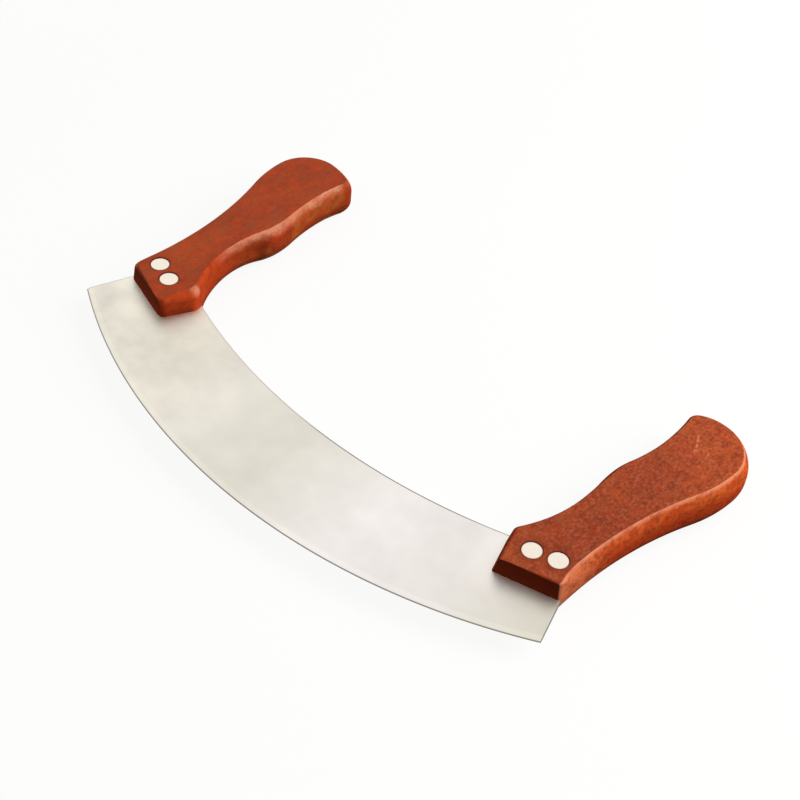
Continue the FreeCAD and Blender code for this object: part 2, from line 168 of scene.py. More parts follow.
# A rivet's head: its dome as shares of the radius and of the drop, the share of the rim where its round is half
# done, how far it lies below the face, and where the dirt and painted shade on its rim start and are full, in
# millimetres past the head
DOME_SHARES = ((0.0, 0.0), (0.5, 0.25), (0.8, 0.64))
RIM_SHARE = 0.3
RIVET_SINK = 0.02 * MM
RIM_DIRT_AND_SHADE = (-0.4, -0.1)

# Inputs of the rivets' geometry nodes
RIVET_INPUTS = {
    "Points": "Geometry", "Reach": "Float", "Head Radius": "Float", "Head Height": "Float", "Head Dome": "Float",
    "Head Rim": "Float", "Shank Radius": "Float", "Sides": "Int", "Finish": "Material",
}

# Noise in the finishes: how the place, in millimetres, is stretched, then the detail and the roughness
STEEL_NOISE = {
    "mottle": ((0.06, 0.06, 0.06), 3.0, 0.6),
    "cloud": ((0.011, 0.011, 0.011), 1.0, 0.5),
    "marks": ((0.12, 2.4, 1.0), 3.0, 0.6),
    "patches": ((0.02, 0.02, 0.02), 1.0, 0.5),
}
WOOD_NOISE = {
    "streaks": ((0.45, 0.06, 0.45), 3.0, 0.55),
    "blotch": ((0.05, 0.03, 0.05), 2.0, 0.5),
    "mottle": ((0.36, 0.28, 0.36), 3.0, 0.65),
    "specks": ((0.9, 0.62, 0.9), 2.0, 0.6),
    "clouds": ((0.17, 0.1, 0.17), 2.0, 0.6),
    "grain": ((0.3, 0.18, 0.3), 3.0, 0.7),
    "patches": ((0.13, 0.075, 0.13), 1.0, 0.5),
    "stains": ((0.22, 0.22, 0.3), 2.0, 0.7),
}
RIVET_NOISE = {
    "lines": ((0.5, 6.0, 1.0), 2.0, 0.6),
    "spots": ((0.9, 0.9, 0.9), 2.0, 0.5),
}

# Where the looks of the steel start and are full: millimetres along the blade or from an edge, or values of a
# noise; and half the blur of the bevel's border, in millimetres
STEEL_FADES = {
    "stained": (-30.0, -90.0), "painted_light_by_handle": (26.0, 14.0), "patches": (0.4, 0.6), "edge_shade_line": (0.55, 0.15),
    "spine_shade_line": (0.75, 0.2), "middle_start": (-20.0, 15.0), "middle_end": (85.0, 60.0), "cut_end": (0.3, 0.12),
}
BEVEL_BLUR = 0.15

# The same for the wood: millimetres across, up, in height or from a spot, and then values of a noise; and the
# places, in millimetres up, from which the waist and the two ends are measured
WOOD_FADES = {
    "right": (-20.0, 20.0), "waist": (25.0, 8.0), "ends": (22.0, 70.0), "heel": (0.0, -25.0), "neck": (16.0, -4.0),
    "grip": (0.0, 30.0), "off_middle": (0.0, 8.0), "upper": (6.0, 12.0), "lower": (8.0, 2.5),
    "facet": (14.5, 10.0), "ring": (1.0, 0.2), "grime_shade_halo": (4.0, 0.5), "shoulder": (3.6, 0.5), "scratch": (0.6, 0.15),
    "streaks": (0.35, 0.75), "red_clouds": (0.5, 0.64), "brown_clouds": (0.48, 0.36), "blotch": (0.4, 0.7),
    "grain": (0.4, 0.58), "patches": (0.48, 0.62), "dapple": (0.44, 0.68), "stains": (0.5, 0.64),
    "gloss_flecks": (0.5, 0.66), "pores": (0.46, 0.32), "worn": (0.35, 0.6), "grip_wear": (0.4, 1.0),
    "grip_specks": (0.5, 0.64), "broken": (0.4, 0.6),
}
WAIST_UP = 2.0
ENDS_MIDDLE_UP = 8.0

# How strong some looks of the wood are on the left handle and on the right one
WOOD_SHARES = {
    "faded": (0.0, 0.18), "waist": (0.0, 0.15), "red_clouds": (0.3, 0.18), "brown_clouds": (0.3, 0.15),
    "ends": (0.0, 0.2), "outer_side": (0.35, 0.9), "dapple": (0.16, 0.52), "gloss_flecks": (0.03, 0.115),
    "pores": (0.1, 0.45), "finger_shade": (0.0, 0.8), "outer_shade": (0.48, 0.0), "lower": (0.45, 0.85),
    "grime_shade_halo": (0.1, 0.35), "end_grain": (0.78, 0.96), "heel_wear": (0.0, 0.55),
}

# Painted reflection: how much of the steel's colour the blade shows, from its left tip to its right one, lighter
# and darker as its reflection of the light is there
STEEL_PAINTED_SWEEP = [(place, (level, level, level * blue, 1.0)) for place, level, blue in (
    (0.0, 0.93, 0.975), (0.2, 0.91, 0.955), (0.36, 0.925, 0.995), (0.5, 0.832, 0.985), (0.68, 1.0, 1.07),
    (0.84, 0.92, 1.05), (1.0, 0.81, 0.935))]

# How strong the painted highlight of the left grip is along its length, and where that starts and ends, in
# millimetres up
GRIP_HIGHLIGHT = [(place, (level, level, level, 1.0)) for place, level in (
    (0.0, 0.0), (0.125, 0.5), (0.21, 0.85), (0.46, 0.85), (0.56, 0.6), (0.66, 0.55), (0.775, 0.9), (0.95, 0.95),
    (0.99, 0.1))]
GRIP_SPAN = (-5.0, 75.0)

# Painted highlight on the corner of the left shoulder, in metres, and scratches on the right face, in millimetres:
# the middle and half the length of each, the way that they all run, and the share of their length before they taper
SHOULDER_HIGHLIGHT = (-87.6 * MM, -22.2 * MM)
SCRATCHES = (((108.9, 62.7), 6.8), ((115.8, 60.2), 1.9), ((111.0, 57.5), 1.4))
SCRATCH_WAY = (-0.483, 0.875)
TAPER_SHARE = 0.6

# Camera of the picture: where it looks, from where, its lens and sensor in millimetres, and how near it sees
LOOK_AT = Vector((9.04, 0.32, 9.0)) * MM
CAMERA_TURN = math.radians(39.433)
CAMERA_RISE = math.radians(44.843)
CAMERA_ROLL = math.radians(5.917)
CAMERA_DISTANCE = 638 * MM
CAMERA_LENS = 71.89
SENSOR_WIDTH = 36.0
NEAREST = 0.01

# Lights: the way to each, its distance and size in metres, how bright it makes a white surface, and its tint
LIGHTS = {
    "key_light": ((0.54, 0.54, 0.64), 0.9, 0.8, 0.95, (1.0, 0.97, 0.92)),
    "fill_light": ((-0.6, -0.45, 0.65), 1.2, 0.8, 0.1, (1.0, 0.98, 0.96)),
}

# Sky: the way to its bright side, how it turns from dim to bright, its two levels and its tint, and what the
# camera and the metal see in its place
SKY_WAY = (0.25, 0.75, 0.6)
SKY_FADE = (-0.6, 0.9)
SKY_LEVELS = (0.1, 0.6)
SKY_TINT = (1.0, 0.98, 0.95, 1.0)
WHITE = (1.0, 1.0, 1.0, 1.0)

# Floor: half its width in metres, how bright it looks, how much of that is plain white near the knife and what is
# added far away, and where, in millimetres, that starts and is full
FLOOR_HALF = 3.0
FLOOR_GLOW = 1.03
FLOOR_WHITE_SHARE = 0.86
FAR_WHITE_SHARE = 0.11
FLOOR_FADE = (250.0, 700.0)


def length(label, text, size):
    """Length in millimetres that a user may change."""
    return FloatProperty(name=label, description=text, default=size * MM, min=0.0, unit="LENGTH", precision=5)


def colour(label, text, red, green, blue):
    """Colour, in linear light, that a user may change."""
    return FloatVectorProperty(name=label, description=text, default=(red, green, blue), min=0.0, max=1.0,
                               size=3, subtype="COLOR")


class KnifeSizes(bpy.types.PropertyGroup):
    """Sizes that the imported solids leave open."""
    edge_radius: length("Edge curve", "Radius of the cutting edge", 250)
    spine_radius: length("Spine curve", "Radius of the hollow spine", 258)
    end_lean: FloatProperty(name="End lean", description="Lean of each end of the blade", default=math.radians(19),
                            subtype="ANGLE")
    bevel_width: length("Bevel", "Width of the ground bevel beside the cutting edge", 2.5)
    edge_land: length("Edge land", "Thickness left at the cutting edge", 0.3)
    broken_edge: length("Broken edge", "Small bevel along the spine and the ends", 0.08)
    slot_gap: length("Slot gap", "Gap between the blade and the walls of its slot", 0.05)
    hole_gap: length("Hole gap", "Gap round a rivet in its hole", 0.1)
    head_height: length("Head height", "Height of a rivet's head", 1.6)
    head_dome: length("Head dome", "How far a rivet head's rim lies below its middle", 0.16)
    head_rim: length("Head rim", "Round of a rivet head's rim", 0.2)
    shank_radius: length("Shank", "Radius of a rivet's shank", 2.5)
    rivet_sides: IntProperty(name="Rivet sides", description="Sides of a rivet's circle", default=64, min=12)


class KnifeColours(bpy.types.PropertyGroup):
    """Colours of the finishes."""
    steel: colour("Steel", "Satin steel of the blade", 0.92, 0.875, 0.79)
    # Painted shade: a dark line along the blade's cutting edge, spine and cut ends, for shade and dark reflections
    # there
    steel_edge_shade: colour("Steel edge", "Dark line along the blade's edges", 0.16, 0.13, 0.11)
    wood: colour("Wood", "Stained and lacquered wood", 0.37, 0.057, 0.019)
    # Dark grain and pores; also painted shade on the far and lower sides, and with dirt round the rivets
    wood_grain_and_shade: colour("Wood grain", "Dark grain and pores", 0.17, 0.022, 0.008)
    # Worn, more orange wood; also the painted light on the upper outer sides
    wood_worn_and_lit: colour("Wood wear", "Worn, more orange wood", 0.75, 0.145, 0.031)
    # Deep red stain; also painted shade on the finger sides, most towards the neck
    wood_red_and_shade: colour("Wood sides", "Deep red stain low on the sides", 0.55, 0.062, 0.013)
    wood_tan: colour("Wood fade", "Browner, faded stain of one handle", 0.23, 0.078, 0.034)
    # Pale rubbed colour; also the painted highlights on edges, grip, shoulder and heel, and the painted gloss
    # flecks
    wood_rub_and_highlight: colour("Wood rub", "Pale, rubbed edges", 0.84, 0.35, 0.215)
    # Painted reflection: golden patches on the finger sides
    wood_gold_reflection: colour("Wood patches", "Golden patches where the stain is thin", 0.62, 0.18, 0.034)
    # End grain of the base, darkened further as painted shade, and the painted shade of the left base's facet
    wood_end_grain_and_shade: colour("Wood end grain", "End grain of the base", 0.115, 0.013, 0.004)
    rivet: colour("Rivet", "Ground rivet heads", 0.95, 0.85, 0.73)
    floor: colour("Floor", "Pale floor", 0.8, 0.79, 0.78)
    floor_bounce: colour("Floor bounce", "What the floor throws back at the knife", 0.1, 0.095, 0.09)


class Wire:
    """A node's output, with arithmetic that adds Math nodes."""

    def __init__(self, sheet, socket):
        self.sheet = sheet
        self.socket = socket

    def __add__(self, other):
        return self.sheet.math("ADD", self, other)

    __radd__ = __add__

    def __sub__(self, other):
        return self.sheet.math("SUBTRACT", self, other)

    def __rsub__(self, other):
        return self.sheet.math("SUBTRACT", other, self)

    def __mul__(self, other):
        return self.sheet.math("MULTIPLY", self, other)

    def __truediv__(self, other):
        return self.sheet.math("DIVIDE", self, other)

    def __abs__(self):
        return self.sheet.math("ABSOLUTE", self)


class NodeSheet:
    """A node tree that is filled by expressions."""

    def __init__(self, tree):
        self.tree = tree
        tree.nodes.clear()

    def add(self, kind, inputs=None, output=0, **settings):
        """New node: its settings first, then the values or links of its sockets; gives one of its outputs."""
        node = self.tree.nodes.new(kind)
        for name, value in settings.items():
            if name == "stops":
                self.set_stops(node.color_ramp, value)
            elif name == "items":
                while len(node.index_switch_items) < value:
                    node.index_switch_items.new()
            else:
                setattr(node, name, value)
        for key, value in (inputs or {}).items():
            if isinstance(value, Wire):
                self.tree.links.new(value.socket, node.inputs[key])
            else:
                node.inputs[key].default_value = value
        return Wire(self, node.outputs[output]) if node.outputs else None

    def set_stops(self, ramp, stops):
        """Give a colour ramp its stops."""
        while len(ramp.elements) < len(stops):
            ramp.elements.new(1.0)
        for element, (place, shade) in zip(ramp.elements, stops):
            element.position = place
            element.color = shade

    def output(self, wire, name):
        """Another output of the node that a wire comes from."""
        return Wire(self, wire.socket.node.outputs[name])

    def math(self, operation, *operands):
        """Math node."""
        return self.add("ShaderNodeMath", dict(enumerate(operands)), operation=operation)

    def ease(self, value, low, high):
        """Smooth step from 0 at low to 1 at high."""
        inputs = {"Value": value, "From Min": low, "From Max": high}
        return self.add("ShaderNodeMapRange", inputs, interpolation_type="SMOOTHSTEP")

    def ramp(self, value, low, high, stops):
        """Colour of a ramp that runs from low to high."""
        along = self.add("ShaderNodeMapRange", {"Value": value, "From Min": low, "From Max": high})
        return self.add("ShaderNodeValToRGB", {0: along}, stops=stops)

    def mix(self, share, first, second, blend="MIX"):
        """Mix two colours."""
        return self.add("ShaderNodeMix", {0: share, 6: first, 7: second}, 2, data_type="RGBA", blend_type=blend)

    def vector(self, operation, *inputs):
        """Vector Math."""
        return self.add("ShaderNodeVectorMath", dict(enumerate(inputs)), operation=operation)

    def most(self, first, *others):
        """The largest of several values."""
        for other in others:
            first = self.math("MAXIMUM", first, other)
        return first

    def noises(self, place, table):
        """Noise about a place, from 0 to 1, for each row of a table."""
        wires = []
        for stretch, detail, roughness in table.values():
            stretched = self.vector("MULTIPLY", place, stretch)
            inputs = {"Vector": stretched, "Scale": 1.0, "Detail": detail, "Roughness": roughness}
            wires.append(self.add("ShaderNodeTexNoise", inputs))
        return wires

    def toned(self, shade, tone):
        """Colour made lighter or darker by a number."""
        grey = self.add("ShaderNodeCombineColor", {0: tone, 1: tone, 2: tone})
        return self.mix(1.0, shade, grey, "MULTIPLY")

    def bump(self, strength, depth, height):
        """Normal of a fine relief, with its depth in millimetres."""
        return self.add("ShaderNodeBump", {"Strength": strength, "Distance": depth * MM, "Height": height})

    def place(self):
        """Place on the piece in millimetres, and its three parts."""
        inside = self.add("ShaderNodeTexCoord", output="Object")
        scaled = self.vector("MULTIPLY", inside, (1 / MM, 1 / MM, 1 / MM))
        parts = self.add("ShaderNodeSeparateXYZ", {0: scaled})
        return scaled, parts, self.output(parts, "Y"), self.output(parts, "Z")

    def attribute(self, name):
        """A number that the mesh carries."""
        return self.add("ShaderNodeAttribute", output="Fac", attribute_name=name)

    def finish(self, **inputs):
        """Principled surface and the material's output."""
        sockets = {name.replace("_", " "): value for name, value in inputs.items()}
        surface = self.add("ShaderNodeBsdfPrincipled", sockets)
        self.add("ShaderNodeOutputMaterial", {"Surface": surface})


def opaque(shade):
    """Colour with its alpha."""
    return (*shade, 1.0)


def new_material(name):
    """Empty node material, and its sheet."""
    material = bpy.data.materials.new(name)
    material.use_nodes = True
    return material, NodeSheet(material.node_tree)


def distance_in_plan(sheet, across, up, point):
    """Distance in plan, in millimetres, from a point given in metres."""
    right = across - point[0] / MM
    high = up - point[1] / MM
    return sheet.math("SQRT", right * right + high * high)


def distance_from_rivets(sheet, across, up):
    """Distance in plan, in millimetres, from the middle of the nearest rivet."""
    apart = abs(across)
    inner = distance_in_plan(sheet, apart, up, RIVET_PLACES["right_inner"])
    outer = distance_in_plan(sheet, apart, up, RIVET_PLACES["right_outer"])
    return sheet.math("MINIMUM", inner, outer)


def steel_material(sizes, colours):
    """Satin steel: a soft mottle, faint grinding marks, brightness painted along the blade and brighter by the
    bevel and the handles, and thin painted shade along its edges.
    """
    material, sheet = new_material("blade_steel")
    place, across, up, _ = sheet.place()
    mottle, cloud, marks, patches = sheet.noises(place, STEEL_NOISE)

    def fade(value, name):
        return sheet.ease(value, *STEEL_FADES[name])

    edge = sizes.edge_radius / MM - distance_in_plan(sheet, across, up, edge_centre(sizes))
    spine = distance_in_plan(sheet, across, up, spine_centre(sizes)) - sizes.spine_radius / MM
    tip = blade_tip(sizes)
    end = (tip.x / MM - abs(across)) * math.cos(sizes.end_lean) - (up - tip.y / MM) * math.sin(sizes.end_lean)
    # Painted reflection: the steel's colour swept lighter and darker along the blade
    painted_sweep = sheet.ramp(across, BLADE_LOW[0] / MM, BLADE_HIGH[0] / MM, STEEL_PAINTED_SWEEP)
    bevel_width = sizes.bevel_width / MM
    bevel = sheet.ease(edge, bevel_width + BEVEL_BLUR, bevel_width - BEVEL_BLUR)
    painted_light_by_handle = fade(distance_from_rivets(sheet, across, up), "painted_light_by_handle")
    # The tone: random mottle, clouds and grinding marks, with the bevel and a band round the handles painted
    # brighter as painted reflection
    tone = 1.0 + (mottle - 0.5) * (0.24 + fade(across, "stained") * 0.24) + (cloud - 0.5) * 0.14
    tone = tone + (marks - 0.5) * 0.05 + bevel * 0.05 + painted_light_by_handle * 0.1
    shade = sheet.toned(sheet.mix(1.0, opaque(colours.steel), painted_sweep, "MULTIPLY"), tone)
    middle = fade(across, "middle_start") * fade(across, "middle_end")
    # Painted shade along the cutting edge, the spine and the cut ends
    spine_shade_line = fade(spine, "spine_shade_line") * (0.25 + fade(patches, "patches") * 0.4 + middle * 0.3)
    cut_end = fade(end, "cut_end")
    line = sheet.most(fade(edge, "edge_shade_line") * 0.85, spine_shade_line, cut_end * 0.75)
    shade = sheet.mix(line, shade, opaque(colours.steel_edge_shade))
    rough = 0.48 + (marks - 0.5) * 0.12 + (mottle - 0.5) * 0.08 + cut_end * 0.4
    sheet.finish(Base_Color=shade, Metallic=1.0, Roughness=rough, Normal=sheet.bump(0.12, 0.02, marks))
    return material


def coated(sheet, colours, shade, *coats):
    """Colour with coats laid over it: how much of each, and which of the knife's colours."""
    for share, name in coats:
        shade = sheet.mix(share, shade, opaque(getattr(colours, name)))
    return shade


def wood_material(colours):
    """Stained, lacquered wood: streaks, a fine mottle, redder sides, scratches and dark end grain, with painted
    light, painted shade and painted highlights.
    """
    material, sheet = new_material("handle_wood")
    place, across, up, height = sheet.place()
    streaks, blotch, mottle, specks, clouds, grain, patches, stains = sheet.noises(place, WOOD_NOISE)
    outer, finger, base_end, base_facet, matt = (
        sheet.attribute(name) for name in ("outer_side", "finger_side", "end_grain", "base_facet", "matt_side"))

    def fade(value, name):
        return sheet.ease(value, *WOOD_FADES[name])

    def strength(name):
        left_share, right_share = WOOD_SHARES[name]
        return left_share + right * (right_share - left_share)

    def look(value, name):
        return fade(value, name) * strength(name)

    right = fade(across, "right")
    sides = sheet.most(outer, finger)
    heel = fade(up, "heel") * right
    ends = look(abs(up - ENDS_MIDDLE_UP), "ends")
    shade = coated(
        sheet, colours, opaque(colours.wood),
        (fade(streaks, "streaks") * 0.25, "wood_grain_and_shade"),
        (strength("faded"), "wood_tan"),
        (look(abs(up - WAIST_UP), "waist"), "wood_grain_and_shade"),
        (look(clouds, "red_clouds"), "wood_red_and_shade"),
        (look(clouds, "brown_clouds"), "wood_tan"),
        (fade(blotch, "blotch") * 0.15 + ends, "wood_worn_and_lit"))

    # The outer sides: deep red at mid height, painted lighter and more orange above as painted light from above,
    # and lightest beside the right handle's heel
    painted_upper_light = fade(abs(height - MIDDLE_HEIGHT / MM), "off_middle") * fade(height, "upper")
    side_shade = coated(
        sheet, colours, opaque(colours.wood_red_and_shade),
        (painted_upper_light * (0.3 + fade(grain, "grain") * 0.7), "wood_worn_and_lit"),
        (heel * 0.8, "wood_worn_and_lit"),
        (heel * 0.28, "wood_rub_and_highlight"))
    shade = sheet.mix(outer * strength("outer_side"), shade, side_shade)

    # Over it the finger sides with painted shade towards the neck and a golden painted reflection, the marks with
    # painted gloss flecks, painted shade on the sides, painted highlights and scratches, the base with painted
    # shade, and a ring of dirt and painted shade round each rivet
    pores = fade(specks, "pores")
    # Painted shade: the right finger side, the left outer side and the lower sides darkened
    painted_side_shade = sheet.most(finger * strength("finger_shade"), outer * strength("outer_shade"),
                        sides * look(height, "lower"))
    near = distance_from_rivets(sheet, across, up) - RIVET_HEAD / MM
    # Dirt and painted shade in a ring round each rivet head
    ring = sheet.most(fade(near, "ring") * 0.8, look(near, "grime_shade_halo"))
    rubbed = highlight_and_scratch_share(sheet, fade, strength, across, up, grain, specks, right)
    shade = coated(
        sheet, colours, shade,
        # Painted shade: the finger sides darkened, most towards the neck
        (finger * (0.4 + fade(up, "neck") * 0.5), "wood_red_and_shade"),
        # Painted reflection: golden patches along the finger sides
        (finger * fade(patches, "patches") * fade(up, "grip") * 0.45, "wood_gold_reflection"),
        (fade(mottle, "dapple") * (strength("dapple") + finger * 0.25), "wood_grain_and_shade"),
        (fade(stains, "stains") * sides * (0.75 - heel * 0.5), "wood_red_and_shade"),
        # Painted highlights: small pale gloss flecks
        (look(specks, "gloss_flecks") * (1.0 - outer * 0.8), "wood_rub_and_highlight"),
        (pores * strength("pores") * (1.0 + outer * 0.2 - heel * 0.7), "wood_grain_and_shade"),
        (painted_side_shade, "wood_grain_and_shade"),
        # Painted shade: the left base's facet darkened, more towards the bottom
        (base_facet * (1.0 - right) * (0.56 + fade(height, "facet") * 0.3), "wood_end_grain_and_shade"),
        # Painted highlights on the creases, grip, shoulder and heel, and rubbed scratches
        (rubbed, "wood_rub_and_highlight"),
        # End grain, darker than the rest and darkened further as painted shade
        (base_end * strength("end_grain"), "wood_end_grain_and_shade"),
        (ring * (1.0 - base_end), "wood_grain_and_shade"))
    rough = 0.3 + (streaks - 0.5) * 0.1 + (mottle - 0.5) * 0.12 + matt * 0.6 + base_end * 0.3
    lacquer = 0.14 - sheet.most(sides, base_end) * 0.12
    relief = sheet.bump(0.25, 0.05, streaks * 0.4 - pores)
    sheet.finish(Base_Color=shade, Roughness=rough, Normal=relief, Coat_Weight=lacquer, Coat_Roughness=0.35,
                 Specular_IOR_Level=0.0)
    return material


def highlight_and_scratch_share(sheet, fade, strength, across, up, grain, specks, right):
    """Share of painted highlight on the upper creases, in the left grip, at a shoulder and at a heel, and of stain
    rubbed away in scratches.
    """
    worn = fade(grain, "worn")
    # Painted highlight along the upper creases
    edges = sheet.attribute("edge_wear") * (0.3 + worn * 0.35)
    shine = sheet.add("ShaderNodeSeparateColor", {0: sheet.ramp(up, *GRIP_SPAN, GRIP_HIGHLIGHT)})
    grip = fade(sheet.attribute("finger_wear") + (grain - 0.5) * 0.8, "grip_wear") * shine * (1.0 - right)
    grip = grip * (0.65 + worn * 0.35) * (1.0 - fade(specks, "grip_specks") * 0.25)
    shoulder = fade(distance_in_plan(sheet, across, up, SHOULDER_HIGHLIGHT), "shoulder")
    shoulder = shoulder * sheet.attribute("corner_wear") * (0.25 + worn * 0.4)
    rubbed = sheet.most(edges, grip, shoulder, sheet.attribute("heel_wear") * strength("heel_wear"))
    for spot, reach in SCRATCHES:
        east = across - spot[0]
        north = up - spot[1]
        along = sheet.ease(abs(north * SCRATCH_WAY[1] + east * SCRATCH_WAY[0]), reach, reach * TAPER_SHARE)
        width = fade(abs(east * SCRATCH_WAY[1] - north * SCRATCH_WAY[0]), "scratch")
        rubbed = sheet.most(rubbed, along * width * fade(specks, "broken") * 0.4)
    return rubbed


def rivet_material(colours):
    """Ground rivet heads: pale metal with fine sanding lines and a rim darkened by dirt and painted shade."""
    material, sheet = new_material("rivet_metal")
    place, across, up, _ = sheet.place()
    lines, spots = sheet.noises(place, RIVET_NOISE)
    # Dirt and painted shade darken the rim of each head
    rim = sheet.ease(distance_from_rivets(sheet, across, up) - RIVET_HEAD / MM, *RIM_DIRT_AND_SHADE)
    tone = 1.0 + (lines - 0.5) * 0.12 + (spots - 0.5) * 0.12 - rim * 0.55
    rough = 0.34 + (lines - 0.5) * 0.2
    sheet.finish(Base_Color=sheet.toned(opaque(colours.rivet), tone), Metallic=1.0, Roughness=rough,
                 Normal=sheet.bump(0.15, 0.02, lines))
    return material


def new_object(name, mesh):
    """Object in the scene's own collection."""
    piece = bpy.data.objects.new(name, mesh)
    bpy.context.scene.collection.objects.link(piece)
    return piece


def mesh_from(name, corners, faces):
    """Closed mesh with its normals outward."""
    mesh = bpy.data.meshes.new(name)
    mesh.from_pydata(corners, [], faces)
    mesh.validate()
    tidy_normals(mesh)
    return mesh


def tidy_normals(mesh):
    """Merge doubles and point all faces outward."""
    work = bmesh.new()
    work.from_mesh(mesh)
    bmesh.ops.remove_doubles(work, verts=work.verts, dist=ONE_POINT)
    bmesh.ops.recalc_face_normals(work, faces=work.faces)
    work.to_mesh(mesh)
    work.free()


def cut(name, mesh, *cutters):
    """Mesh with the cutters taken away from it."""
    piece = new_object(name, mesh)
    tools = []
    for cutter in cutters:
        tool = new_object(f"{name}_cutter", cutter)
        modifier = piece.modifiers.new("cut", "BOOLEAN")
        modifier.operation = "DIFFERENCE"
        modifier.solver = "EXACT"
        modifier.object = tool
        tools.append(tool)
    whole = len(mesh.polygons)
    shaped = plain_mesh(piece, tools)
    if len(shaped.polygons) < whole:
        raise RuntimeError(f"cutting the {name} failed")
    return shaped


def plain_mesh(piece, spare=()):
    """What an object's modifiers make of it, as a plain mesh; the object and the spare ones go."""
    seen = piece.evaluated_get(bpy.context.evaluated_depsgraph_get())
    mesh = bpy.data.meshes.new_from_object(seen)
    for thing in (piece, *spare):
        bpy.data.objects.remove(thing)
    return mesh


def put_in(name, mesh, material, nodes):
    """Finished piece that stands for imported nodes."""
    mesh.materials.clear()
    mesh.materials.append(material)
    mesh.shade_smooth()
    mesh.set_sharp_from_angle(angle=SMOOTH_ANGLE)
    piece = new_object(name, mesh)
    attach(piece, "root")
    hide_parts(*nodes)


def blade_tip(sizes):
    """Right tip of the blade in plan."""
    rise = sizes.edge_radius - math.sqrt(sizes.edge_radius ** 2 - BLADE_HIGH[0] ** 2)
    return Vector((BLADE_HIGH[0], BLADE_LOW[1] + rise))


def edge_centre(sizes):
    """Centre of the cutting edge's curve in plan."""
    return Vector((0.0, BLADE_LOW[1] + sizes.edge_radius))


def spine_centre(sizes):
    """Centre of the spine's curve in plan."""
    tip = blade_tip(sizes)
    half_spine = tip.x - (BLADE_HIGH[1] - tip.y) * math.tan(sizes.end_lean)
    return Vector((0.0, BLADE_HIGH[1] + math.sqrt(sizes.spine_radius ** 2 - half_spine ** 2)))


def arc_points(centre, radius, start, end, steps):
    """Points along an arc from one angle to another."""
    angles = np.linspace(start, end, steps + 1)
    return [Vector((centre[0] + radius * math.cos(a), centre[1] + radius * math.sin(a))) for a in angles]


def blade_ring(sizes, grow, edge_grow):
    """Blade's outline in plan, grown at the spine and the ends, and separately at the cutting edge."""
    tip = blade_tip(sizes) + Vector((grow / math.cos(sizes.end_lean), 0.0))
    along = Vector((-math.sin(sizes.end_lean), math.cos(sizes.end_lean)))
    corners = []
    arcs = []
    for centre, radius in ((edge_centre(sizes), sizes.edge_radius + edge_grow),
                           (spine_centre(sizes), sizes.spine_radius - grow)):
        corner = meet(tip, along, centre, radius)
        angle = math.atan2(corner.y - centre.y, corner.x - centre.x)
        corners.append(corner)
        arcs.append(arc_points(centre, radius, -math.pi - angle, angle, BLADE_STEPS))
    low, back = corners
    edge, spine = arcs
    ends = [low.lerp(back, share) for share in np.linspace(0, 1, END_STEPS + 1)[1:-1]]
    left = [Vector((-point.x, point.y)) for point in reversed(ends)]
    return edge + ends + spine[::-1] + left


def meet(start, along, centre, radius):
    """Where a line meets a circle's lower half."""
    offset = start - centre
    half = offset.dot(along)
    root = math.sqrt(half * half - offset.length_squared + radius * radius)
    places = [start + along * (share - half) for share in (-root, root)]
    return min(places, key=lambda place: place.y)


def ring_faces(count, rows, first=0):
    """Faces that close rows of points, from the lowest row up: the sides and the two ends."""
    faces = []
    for low in range(first, first + (rows - 1) * count, count):
        for step in range(count):
            after = (step + 1) % count
            faces.append((low + step, low + after, low + count + after, low + count + step))
    last = first + (rows - 1) * count
    faces.append(tuple(reversed(range(first, first + count))))
    faces.append(tuple(range(last, last + count)))
    return faces


def prism(name, rings):
    """Closed mesh from rings of plan points, each with its height, from the lowest up."""
    corners = [(*point, height) for ring, height in rings for point in ring]
    return mesh_from(name, corners, ring_faces(len(rings[0][0]), len(rings)))


def turned(name, places, profile):
    """Closed mesh turned from a profile of radii and heights about each place."""
    corners = []
    faces = []
    for place in places:
        faces += ring_faces(DRILL_SIDES, len(profile), len(corners))
        for radius, height in profile:
            circle = arc_points(place, radius, 0.0, 2 * math.pi, DRILL_SIDES)[:-1]
            corners += [(*point, height) for point in circle]
    return mesh_from(name, corners, faces)


def mirrored(rows):
    """Rows and their heights over the mid plane, the highest first, as rows on both sides from the lowest up."""
    lower = [(row, MIDDLE_HEIGHT - height) for row, height in rows]
    return lower + [(row, MIDDLE_HEIGHT + height) for row, height in rows[::-1]]


def blade_mesh(sizes):
    """Crescent with a ground bevel, a thin land at the edge and broken edges elsewhere, drilled for its rivets."""
    half_land = sizes.edge_land / 2
    slope = sizes.bevel_width / (HALF_BLADE - half_land)
    broken = sizes.broken_edge
    rings = [
        (blade_ring(sizes, -broken, -sizes.bevel_width), HALF_BLADE),
        (blade_ring(sizes, 0.0, -sizes.bevel_width + broken * slope), HALF_BLADE - broken),
        (blade_ring(sizes, 0.0, 0.0), half_land),
    ]
    drill = mirrored([(sizes.shank_radius + sizes.hole_gap, HALF_HANDLE)])
    return cut("blade", prism("blade", mirrored(rings)), turned("blade_drill", RIVET_PLACES.values(), drill))


def blended(start, end, share):
    """Place between two others."""
    return {key: value + (end[key] - value) * share for key, value in start.items()}


